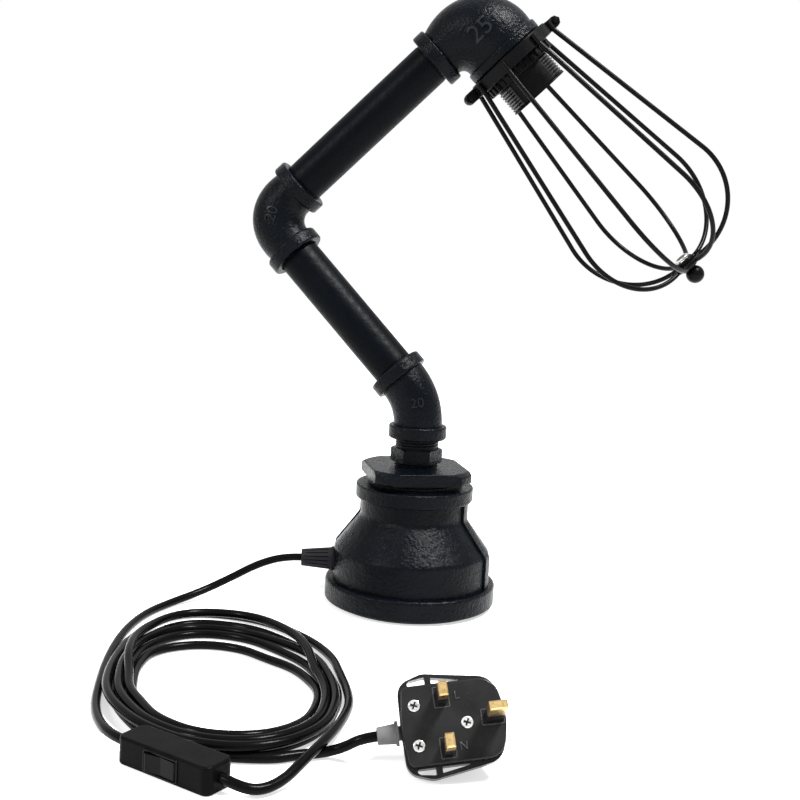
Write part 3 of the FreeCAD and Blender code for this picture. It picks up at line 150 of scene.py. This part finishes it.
class Finish:
    """A material built up node by node from the piece's own coordinates."""

    def __init__(self, name, **sockets):
        self.material = bpy.data.materials.new(name)
        self.material.use_nodes = True
        self.tree = self.material.node_tree
        self.shader = self.tree.nodes["Principled BSDF"]
        self.place = self.tree.nodes.new("ShaderNodeTexCoord").outputs["Object"]
        for socket, value in sockets.items():
            self.shader.inputs[socket.replace("_", " ")].default_value = value

    def node(self, kind, settings=None, **inputs):
        """A node with its settings and inputs, which are numbers or other nodes' outputs."""
        made = self.tree.nodes.new("ShaderNode" + kind)
        for key, value in (settings or {}).items():
            setattr(made, key, value)
        for key, value in inputs.items():
            socket = made.inputs[int(key[1:]) if key[1:].isdigit() else key.replace("_", " ")]
            if isinstance(value, bpy.types.NodeSocket):
                self.tree.links.new(value, socket)
            else:
                socket.default_value = value
        return made

    def noise(self, scale, detail=4.0, roughness=0.55, stretch=None):
        """Grey cloudy pattern; scale counts lumps in a metre."""
        place = self.place
        if stretch:
            place = self.node("Mapping", Vector=place, Scale=stretch).outputs[0]
        return self.node("TexNoise", Vector=place, Scale=scale, Detail=detail, Roughness=roughness).outputs["Fac"]

    def pits(self, scale, feature="F1"):
        """Grey pattern of round cells."""
        return self.node("TexVoronoi", {"feature": feature}, Vector=self.place, Scale=scale).outputs["Distance"]

    def spread(self, value, low, high, at=(0.3, 0.7)):
        """The pattern's grey from at[0] to at[1], spread from low to high."""
        made = self.node("MapRange", Value=value, From_Min=at[0], From_Max=at[1], To_Min=low, To_Max=high)
        return made.outputs[0]

    def add(self, a, b, share=1.0):
        scaled = self.node("Math", {"operation": "MULTIPLY"}, _0=b, _1=share).outputs[0]
        return self.node("Math", {"operation": "ADD"}, _0=a, _1=scaled).outputs[0]

    def colour(self, value, dark, light, at=(0.3, 0.7)):
        """Base colour from dark to light by the pattern."""
        mix = self.node("Mix", {"data_type": "RGBA"})
        self.tree.links.new(self.spread(value, 0.0, 1.0, at), mix.inputs["Factor"])
        mix.inputs[6].default_value = (*dark, 1)
        mix.inputs[7].default_value = (*light, 1)
        self.tree.links.new(mix.outputs[2], self.shader.inputs["Base Color"])
        return self

    def roughness(self, value, low, high, at=(0.3, 0.7)):
        self.tree.links.new(self.spread(value, low, high, at), self.shader.inputs["Roughness"])
        return self

    def bump(self, height, depth):
        """Relief of that depth in metres."""
        made = self.node("Bump", Height=height, Strength=1.0, Distance=depth)
        below = self.shader.inputs["Normal"]
        if below.links:
            self.tree.links.new(below.links[0].from_socket, made.inputs["Normal"])
        self.tree.links.new(made.outputs[0], below)
        return self


def cast_paint(name):
    """Black enamel over sand-cast iron: low lumps, sand grain and a few pits."""
    paint = Finish(name, Specular_IOR_Level=0.06)
    lumps = paint.noise(140, 2.0)
    sand = paint.noise(560, 4.0, 0.60)
    paint.colour(paint.noise(60, 5.0), (0.0006, 0.0012, 0.0022), (0.0018, 0.0027, 0.0042))
    paint.roughness(paint.add(paint.noise(420, 4.0), sand, 0.3), 0.19, 0.30, (0.4, 0.9))
    paint.bump(lumps, 0.0005).bump(sand, 0.0005)
    holes = paint.spread(paint.pits(260), 0.0, 1.0, (0.03, 0.16))
    return paint.bump(holes, 0.00012).material


def pipe_paint(name):
    """Black enamel on drawn pipe: a fine orange peel, and a faint cloudy tone."""
    paint = Finish(name, Specular_IOR_Level=0.04)
    paint.colour(paint.noise(45, 4.0), (0.0004, 0.0009, 0.0017), (0.0010, 0.0017, 0.0028))
    paint.roughness(paint.noise(300, 5.0), 0.34, 0.48)
    return paint.bump(paint.noise(260, 3.0), 0.00025).bump(paint.noise(1500, 3.0), 0.00006).material


def moulded(name, dark, light, rough, grain=1100, depth=0.00004, specular=0.09):
    """Moulded plastic with a fine spark-eroded grain."""
    skin = Finish(name, Specular_IOR_Level=specular)
    skin.colour(skin.noise(90, 4.0), dark, light)
    skin.roughness(skin.noise(500, 4.0), *rough)
    return skin.bump(skin.noise(grain, 3.0, 0.7), depth).material


def metal(name, dark, light, rough, grain=700, depth=0.00003, stretch=None):
    """Bare or plated metal with tool marks."""
    face = Finish(name, Metallic=1.0)
    face.colour(face.noise(160, 4.0), dark, light)
    face.roughness(face.noise(900, 4.0, stretch=stretch), *rough)
    return face.bump(face.noise(grain, 4.0, 0.6, stretch), depth).material


# Colours from dark to light, then the range of roughness, the grain and its depth
FINISHES = {
    "cast_black": cast_paint("cast_iron_enamel"),
    "pipe_black": pipe_paint("pipe_enamel"),
    "guard_black": moulded("guard_enamel", (0.0013, 0.0013, 0.0016), (0.0026, 0.0026, 0.0031),
                           (0.26, 0.36), 350, 0.00001, 0.06),
    "pad_rubber": moulded("pad_foam", (0.006, 0.006, 0.006), (0.014, 0.014, 0.014), (0.80, 0.95), 1600, 0.0003, 0.2),
    "gland_plastic": moulded("gland_nylon", (0.006, 0.006, 0.007), (0.011, 0.011, 0.013), (0.42, 0.55)),
    "cord_black": moulded("cord_jacket", (0.0015, 0.0015, 0.0017), (0.0028, 0.0028, 0.0031),
                          (0.17, 0.25), 320, 0.00001, 0.045),
    "switch_plastic": moulded("switch_shell", (0.0018, 0.0018, 0.0020), (0.0034, 0.0034, 0.0037),
                              (0.28, 0.40), specular=0.025),
    "rocker_plastic": moulded("switch_rocker_shell", (0.002, 0.002, 0.0024), (0.004, 0.004, 0.0044),
                              (0.14, 0.22), specular=0.06),
    "plug_plastic": moulded("plug_shell", (0.009, 0.009, 0.0095), (0.015, 0.015, 0.016),
                            (0.16, 0.28), specular=0.12),
    "relief_grey": moulded("relief_vinyl", (0.12, 0.12, 0.12), (0.17, 0.17, 0.168), (0.46, 0.60)),
    "sleeve_plastic": moulded("pin_sleeve", (0.006, 0.006, 0.006), (0.010, 0.010, 0.010), (0.36, 0.48)),
    "terminal_plastic": moulded("terminal_nylon", (0.55, 0.54, 0.50), (0.68, 0.67, 0.62), (0.45, 0.60)),
    "holder_plastic": moulded("holder_resin", (0.0010, 0.0010, 0.0011), (0.0024, 0.0024, 0.0026),
                              (0.24, 0.36), specular=0.05),
    # The holder's thread is the holder's own black resin, painted lighter than its body as a painted highlight for
    # the light its ridges catch
    "thread_highlight": moulded("holder_thread_resin", (0.006, 0.006, 0.0065), (0.012, 0.012, 0.013),
                              (0.14, 0.22), specular=0.45),
    # The cast sizes are painted lighter than the iron they stand on, a painted highlight for the light on their
    # raised edges
    "cast_mark": moulded("cast_mark_enamel", (0.0040, 0.0056, 0.0078), (0.0095, 0.0120, 0.0152),
                         (0.20, 0.32), specular=0.13),
    # The plug's letters and pin rims are painted lighter than the plug, a painted highlight for the light on their
    # relief
    "plug_mark": moulded("plug_mark_nylon", (0.030, 0.030, 0.031), (0.050, 0.050, 0.052),
                         (0.22, 0.34), specular=0.25),
    "fuse_ceramic": moulded("fuse_ceramic", (0.62, 0.56, 0.45), (0.72, 0.67, 0.56), (0.30, 0.42)),
    "pin_brass": metal("pin_brass", (0.40, 0.27, 0.11), (0.60, 0.43, 0.20), (0.24, 0.40), 500, 0.00005),
    "screw_steel": metal("screw_steel", (0.58, 0.58, 0.57), (0.78, 0.78, 0.77), (0.20, 0.34)),
    "shell_nickel": metal("shell_nickel", (0.50, 0.49, 0.46), (0.70, 0.69, 0.66), (0.16, 0.30)),
}

for part in frame["record"]["subparts"]:
    piece = nodes[part["node"]]
    for place in piece.material_slots:
        place.material = FINISHES[part["material_slot"]]


# ---- Cords -------------------------------------------------------------------------------------

CORD = 0.0048          # diameter
CLEAR = 0.0001         # between the cord and what it rests on

LEAD = mm((-70.6, -3.7, 25.8), (-81.6, -4.3, 25.8), (-98.0, -7.2, 21.0), (-115.5, -13.0, 12.0),
          (-132.5, -23.0, 5.2), (-147.5, -38.5, 2.6), (-158.2, -60.0, 2.5), (-163.2, -87.0, 2.5),
          (-163.8, -116.0, 2.5), (-161.6, -146.0, 2.5), (-157.6, -175.0, 2.5), (-153.2, -201.0, 2.6),
          (-145.8, -223.5, 4.2), (-134.7, -243.96, 6.5), (-124.64, -250.5, 6.5))

# The loose coil goes round its middle in steps of 22.5 degrees from +X, and lies between two ovals
COIL_MIDDLE = Vector((-0.095, -0.170, 0))
OVAL_IN = (49.0, 44.8, 44.8, 45.8, 57.5, 65.5, 66.0, 53.5, 46.5, 46.5, 47.5, 58.8, 70.6, 75.5, 69.3, 56.3)
OVAL_OUT = (64.0, 63.5, 74.0, 89.0, 112.0, 124.0, 89.5, 68.3, 61.1, 61.1, 65.0, 73.6, 86.0, 93.0, 86.6, 71.5)

# Step, place from the inner oval (0) to the outer one (3), height in cords above the floor
TURNS = ((-2, 3.0, 1.4), (-1, 3.0, 0.8), (0, 3.0, 0.1), (1, 3.0, 0), (6, 3.0, 0), (7, 2.85, 0.45),
         (8, 2.75, 0.7), (9, 2.65, 0.85), (10, 2.5, 0.95), (11, 2.3, 1.05), (12, 2.2, 1.05), (13, 2.0, 1.05),
         (14, 1.6, 1.0), (16, 1.5, 0.95), (17, 1.5, 0.95), (18, 1.5, 0.8), (19, 1.5, 0.4), (20, 1.5, 0),
         (21, 1.5, 0.1), (22, 1.5, 0.7), (23, 1.5, 0.95), (26, 1.5, 0.95), (27, 1.35, 1.05), (28, 1.1, 1.05),
         (29, 0.9, 1.05), (30, 0.6, 1.0), (31, 0.5, 0.95), (32, 0.5, 0.95), (33, 0.55, 1.2), (34, 1.2, 1.8),
         (35, 1.9, 1.7), (36, 2.35, 1.15), (37, 2.1, 1.2), (38, 1.75, 1.6), (39, 1.1, 2.0), (40, 0.45, 1.3),
         (41, 0.4, 0.98), (42, 0.4, 1.0), (43, 0.3, 1.05), (44, 0.05, 1.05), (45, -0.4, 0.9), (46, -1.0, 0.3),
         (47, -0.6, 0), (48, 0.0, 0), (62, 0.0, 0), (64, 1.0, 0), (78, 1.0, 0), (80, 2.0, 0), (92, 2.0, 0))
FROM_SWITCH = mm((-79.36, -279.9, 6.5), (-71.5, -284.2, 5.0), (-62.5, -283.6, 3.2), (-53.5, -275.5, 4.2),
                 (-45.8, -262.5, 8.2))
TO_PLUG = mm((-61.6, -251.6, 2.5), (-50.0, -245.5, 2.5), (-39.0, -242.3, 2.6), (-29.8, -243.6, 6.0),
             (-21.64, -246.94, 12.4), (-14.75, -246.2, 13.4))


def coil_point(step):
    """Where the coil is after that many steps."""
    for (before, rank0, layer0), (after, rank1, layer1) in zip(TURNS, TURNS[1:]):
        if before <= step <= after:
            share = (step - before) / (after - before)
            rank = rank0 + (rank1 - rank0) * share
            layer = layer0 + (layer1 - layer0) * share
            break
    inner, outer = OVAL_IN[step % 16], OVAL_OUT[step % 16]
    reach = (inner + (outer - inner) * rank / 3) / 1000
    angle = radians(22.5 * step)
    return COIL_MIDDLE + Vector((reach * cos(angle), reach * sin(angle), CORD / 2 + CLEAR + layer * CORD))


def cord(name, points):
    """Round cord along a smooth line with those control points, resting with the base."""
    curve = bpy.data.curves.new(name, "CURVE")
    curve.dimensions = "3D"
    line = curve.splines.new("NURBS")
    line.points.add(len(points) - 1)
    for place, point in zip(line.points, points):
        place.co = (*point, 1)
    line.order_u = 3
    line.use_endpoint_u = True
    line.resolution_u = 8
    curve.bevel_depth = CORD / 2
    curve.bevel_resolution = 5
    curve.use_fill_caps = True
    piece = bpy.data.objects.new(name, curve)
    bpy.context.scene.collection.objects.link(piece)
    curve.materials.append(FINISHES["cord_black"])
    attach(piece, "base")
    return piece


lead = cord("lead_to_switch", LEAD)
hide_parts("cord_lead")
COIL = FROM_SWITCH + [coil_point(step) for step in range(-2, 93)] + TO_PLUG
coil = cord("coil_to_plug", COIL)
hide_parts("cord_coil", "cord_tail")

# ---- Threads, ribs, rims, marks, and painted shade in the rivet's bore and the screws' crosses ---

SOCKET_REACH = 39.5            # from where the head elbow's axes cross to the lamp socket
HEAD_SIDE = (0.70513, -0.09592, 0.70256)   # across the lamp axis, level with the flats of the holder
GUARD_SPLIT = radians(-9)      # turn of the guard's halves round the lamp axis
SWITCH_AZIMUTH = radians(-33)
PLUG_ROLL = radians(10)
PLUG_LEAN = radians(35)        # that the pins point up
PIN_PITCH = 22.23              # between the power pins, and from them to the earth pin
SCREWS = ((-12.5, 8.8), (-12.5, -8.8), (10.0, -1.2))
RIBS = 32                      # round the ring nut
EYELET_FRONT = 0.1980          # from the crossing of the axes, in metres
SHARP = radians(50)            # edges sharper than this are rounded


def local(origin, x_axis, z_axis):
    """Place of a piece whose own X and Z lie along the two directions; origin in millimetres."""
    x, z = Vector(x_axis).normalized(), Vector(z_axis).normalized()
    y = z.cross(x).normalized()
    x = y.cross(z)
    return Matrix.Translation(Vector(origin) / 1000) @ Matrix((x, y, z)).transposed().to_4x4()


def at(*place):
    """Move by that much, in millimetres."""
    return Matrix.Translation(mm(place)[0])


socket = next(mount for mount in frame["record"]["mounts"] if mount["name"] == "lamp_socket")
lamp_axis = Vector(socket["axis"])
UPRIGHT = Matrix.Identity(4)
HEAD = local(Vector(socket["pos_m"]) * 1000 - SOCKET_REACH * lamp_axis, HEAD_SIDE, lamp_axis)
GUARD = HEAD @ Matrix.Rotation(GUARD_SPLIT, 4, "Z")
SWITCH = local((-102.0, -265.2, 6.5), (cos(SWITCH_AZIMUTH), sin(SWITCH_AZIMUTH), 0), (0, 0, 1))
PLUG = local((14.8, -253.0, 24.6),
             (cos(PLUG_ROLL), sin(PLUG_ROLL) * sin(PLUG_LEAN), sin(PLUG_ROLL) * cos(PLUG_LEAN)),
             (0, -cos(PLUG_LEAN), sin(PLUG_LEAN)))


def begin():
    """Object mode, with nothing selected."""
    if bpy.context.object and bpy.context.object.mode != "OBJECT":
        bpy.ops.object.mode_set(mode="OBJECT")
    bpy.ops.object.select_all(action="DESELECT")


def activate(piece):
    begin()
    piece.select_set(True)
    bpy.context.view_layer.objects.active = piece


def edit(piece):
    """Edit mode, with the whole piece selected."""
    activate(piece)
    bpy.ops.object.mode_set(mode="EDIT")
    bpy.ops.mesh.select_all(action="SELECT")


def pick(piece, kind, test):
    """Edit mode, with only the vertices or polygons selected that pass the test."""
    edit(piece)
    bpy.ops.mesh.select_all(action="DESELECT")
    bpy.ops.object.mode_set(mode="OBJECT")
    for item in getattr(piece.data, kind):
        item.select = test(item)
    bpy.ops.object.mode_set(mode="EDIT")


def apply_place():
    bpy.ops.object.transform_apply(location=True, rotation=True, scale=True)


def modify(piece, kind, **settings):
    """Adds a modifier and applies it."""
    activate(piece)
    made = piece.modifiers.new(kind.lower(), kind)
    for key, value in settings.items():
        setattr(made, key, value)
    bpy.ops.object.modifier_apply(modifier=made.name)


def twin(piece):
    """A copy with a mesh of its own."""
    made = piece.copy()
    made.data = piece.data.copy()
    bpy.context.scene.collection.objects.link(made)
    return made


def finished(piece, name, place, finish, body):
    """Cleans the mesh, sets it in its place and gives it a name, finish, slot and body."""
    edit(piece)
    bpy.ops.mesh.remove_doubles(threshold=0.000002)
    bpy.ops.mesh.normals_make_consistent(inside=False)
    bpy.ops.object.mode_set(mode="OBJECT")
    piece.data.transform(place @ piece.matrix_world)
    piece.matrix_world = UPRIGHT
    bpy.ops.object.shade_smooth_by_angle(angle=radians(35))
    piece.name = piece.data.name = name
    piece.data.materials.clear()
    piece.data.materials.append(FINISHES[finish])
    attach(piece, body)


def thread(name, place, root, rise, pitch, low, high, finish, body, flats=None):
    """Screw ridge round the local Z from low to high, in millimetres; flats cut it off in front and behind."""
    begin()
    half = pitch * 0.46        # half a ridge, so that a strip of the root shows between turns
    foot = (root / 1000, 0, low / 1000)
    bpy.ops.mesh.primitive_circle_add(vertices=6, radius=half / 1000, rotation=(pi / 2, 0, 0), location=foot)
    ridge = bpy.context.object
    apply_place()
    edit(ridge)
    bpy.ops.transform.resize(value=(rise / half, 1, 1), center_override=foot)
    bpy.ops.object.mode_set(mode="OBJECT")
    turns = max(1, round((high - low) / pitch))
    modify(ridge, "SCREW", axis="Z", angle=2 * pi, screw_offset=pitch / 1000, iterations=turns,
           steps=64, render_steps=64, use_merge_vertices=False)
    edit(ridge)
    bpy.ops.mesh.fill_holes(sides=8)
    if flats:
        for side in (-1, 1):
            bpy.ops.mesh.select_all(action="SELECT")
            bpy.ops.mesh.bisect(plane_co=(0, side * flats / 1000, 0), plane_no=(0, side, 0), use_fill=True,
                                clear_outer=True)
    finished(ridge, name, place, finish, body)


def ring_ribs():
    """Ribs round the hub of the ring nut, one modelled and the rest copied round."""
    begin()
    bpy.ops.mesh.primitive_cube_add(size=1, location=(0.02415, 0, 0.0395), scale=(0.0012, 0.0026, 0.0052))
    first = bpy.context.object
    apply_place()
    edit(first)
    bpy.ops.mesh.bevel(offset=0.0004, segments=2, affect="EDGES")
    bpy.ops.object.mode_set(mode="OBJECT")
    ribs = [first] + [twin(first) for _ in range(1, RIBS)]
    begin()
    for k, rib in enumerate(ribs):
        rib.data.transform(Matrix.Rotation(2 * pi * k / RIBS, 4, "Z"))
        rib.select_set(True)
    bpy.context.view_layer.objects.active = first
    bpy.ops.object.join()
    finished(first, "ring_nut_ribs", HEAD, "holder_plastic", "head")


def rivet_lip():
    """Flared bright lip of the tubular rivet inside the guard."""
    begin()
    middle = (0, 0, EYELET_FRONT)
    bpy.ops.mesh.primitive_torus_add(major_radius=0.0039, minor_radius=0.0007, major_segments=48, minor_segments=12,
                                     location=middle)
    lip = bpy.context.object
    pick(lip, "vertices", lambda point: point.co.z > 0.0002)
    bpy.ops.transform.resize(value=(1.15, 1.15, 1.0), center_override=middle)
    bpy.ops.object.mode_set(mode="OBJECT")
    finished(lip, "rivet_lip", GUARD, "shell_nickel", "head")


def eyelet_lining():
    """Dark disc in the rivet's bore, a painted shade where the hole shows."""
    begin()
    bpy.ops.mesh.primitive_circle_add(vertices=48, radius=0.0034, fill_type="NGON",
                                      location=(0, 0, EYELET_FRONT - 0.0004))
    shade_disc = bpy.context.object
    apply_place()
    edit(shade_disc)
    bpy.ops.mesh.inset(thickness=0.0008, depth=0.0001)
    bpy.ops.object.mode_set(mode="OBJECT")
    modify(shade_disc, "SOLIDIFY", thickness=0.0002, offset=0.0)
    finished(shade_disc, "eyelet_lining", GUARD, "guard_black", "head")


def rim(name, place, long, wide, corner, wall, rise, finish):
    """Low rounded rim on a flat face, long along its own X, in millimetres."""
    begin()
    bpy.ops.mesh.primitive_plane_add(size=1)
    made = bpy.context.object
    made.scale = (long / 1000, wide / 1000, 1)
    apply_place()
    edit(made)
    bpy.ops.mesh.bevel(offset=corner / 1000, segments=8, affect="VERTICES")
    bpy.ops.mesh.inset(thickness=wall / 1000)
    bpy.ops.mesh.delete(type="FACE")
    bpy.ops.object.mode_set(mode="OBJECT")
    modify(made, "SOLIDIFY", thickness=2 * rise / 1000, offset=0.0)
    modify(made, "BEVEL", width=0.3 * wall / 1000, segments=2, limit_method="ANGLE", angle_limit=SHARP)
    finished(made, name, place, finish, "base")


def letters(name, text, size, rise, place, finish, body, on=None):
    """Raised characters on a flat face, or wrapped on the node they are cast on; millimetres."""
    begin()
    bpy.ops.object.text_add()
    mark = bpy.context.object
    mark.data.body = text
    mark.data.size = size / 1000
    mark.data.align_x = mark.data.align_y = "CENTER"
    mark.data.resolution_u = 4
    bpy.ops.object.convert(target="MESH")
    mark = bpy.context.object
    mark.data.transform(place)
    edit(mark)
    bpy.ops.mesh.remove_doubles(threshold=0.00001)
    bpy.ops.mesh.quads_convert_to_tris()
    bpy.ops.mesh.subdivide(number_cuts=1)
    bpy.ops.object.mode_set(mode="OBJECT")
    if on:
        out = place.to_3x3().col[2]
        for point in mark.data.vertices:
            hit, spot, _, _ = nodes[on].ray_cast(point.co + out * 0.02, -out)
            if hit:
                point.co = spot
    modify(mark, "SOLIDIFY", thickness=2 * rise / 1000, offset=0.0)
    modify(mark, "BEVEL", width=0.45 * rise / 1000, segments=3, limit_method="ANGLE", angle_limit=SHARP)
    finished(mark, name, UPRIGHT, finish, body)


def screw_shade_crosses():
    """Dark crosses on the plug's screw heads, a painted shade for their cross recesses; one modelled and the others
    copied.
    """
    begin()
    bpy.ops.mesh.primitive_cube_add(size=1, scale=(0.0008, 0.0008, 0.00012))
    first = bpy.context.object
    apply_place()
    pick(first, "polygons", lambda face: abs(face.normal.z) < 0.5)
    bpy.ops.mesh.select_mode(type="FACE")
    bpy.ops.mesh.extrude_faces_move(TRANSFORM_OT_shrink_fatten={"value": 0.0013})
    bpy.ops.mesh.select_mode(type="VERT")
    bpy.ops.object.mode_set(mode="OBJECT")
    crosses = [first] + [twin(first) for _ in SCREWS[1:]]
    for k, (cross, (u, v)) in enumerate(zip(crosses, SCREWS)):
        turn = Matrix.Rotation(radians(45 + 20 * u), 4, "Z")
        finished(cross, "screw_cross_%d" % (k + 1), PLUG @ at(u, v, 0.5) @ turn, "sleeve_plastic",
                 "base")


thread("bushing_thread", UPRIGHT, 29.75, 0.75, 2.31, 77.6, 82.2, "cast_black", "base")
thread("nipple_thread_low", UPRIGHT, 13.2, 0.7, 1.81, 89.6, 92.4, "cast_black", "base")
thread("nipple_thread_top", UPRIGHT, 13.2, 0.6, 1.81, 101.4, 107.6, "cast_black", "base")
thread("holder_thread", HEAD, 18.6, 1.15, 2.0, 44.0, 57.4, "thread_highlight", "head", flats=14.6)
ring_ribs()
rivet_lip()
eyelet_lining()

rim("switch_bezel", SWITCH @ local((0, -8.6, 0), (1, 0, 0), (0, -1, 0)), 20.2, 10.8, 1.6, 0.8, 0.4,
    "rocker_plastic")
for name, u, v, long, wide, along in (("live_pin_rim", 0, PIN_PITCH / 2, 9.6, 7.2, (0, 1, 0)),
                                      ("neutral_pin_rim", 0, -PIN_PITCH / 2, 9.6, 7.2, (0, 1, 0)),
                                      ("earth_pin_rim", PIN_PITCH - 0.7, 0, 10.4, 7.4, (1, 0, 0))):
    rim(name, PLUG @ local((u, v, 0), along, (0, 0, 1)), long, wide, 0.8, 0.6, 0.35, "plug_mark")

# Generic sizes of the fittings, cast on each, and the two power pins' letters; both are painted lighter than the
# faces they stand on, as a painted highlight on their relief
for name, text, size, rise, place, body, fitting in (
        ("size_mark_lower", "20", 8.5, 0.7, local((-1.4, -14.0, 131.3), (0.98, 0, 0.17), (0.0, -0.99, 0.1)),
         "lower_arm", "elbow_45"),
        ("size_mark_upper", "20", 10.0, 0.8, local((-100.5, 8.0, 244.6), (0.25, 0.0, 0.97), (-0.15, -0.985, 0.08)),
         "upper_arm", "elbow_90"),
        ("size_mark_head", "25", 15.0, 0.9, local((25.0, -10.0, 360.0), (0.72, 0, 0.69), (-0.05, -0.995, 0.087)),
         "head", "head_elbow")):
    letters(name, text, size, rise, place, "cast_mark", body, fitting)
for name, text, v in (("live_mark", "L", 11.1), ("neutral_mark", "N", -11.1)):
    letters(name, text, 5.2, 0.4, PLUG @ at(7.0, v, 0.05), "plug_mark", "base")
screw_shade_crosses()

begin()
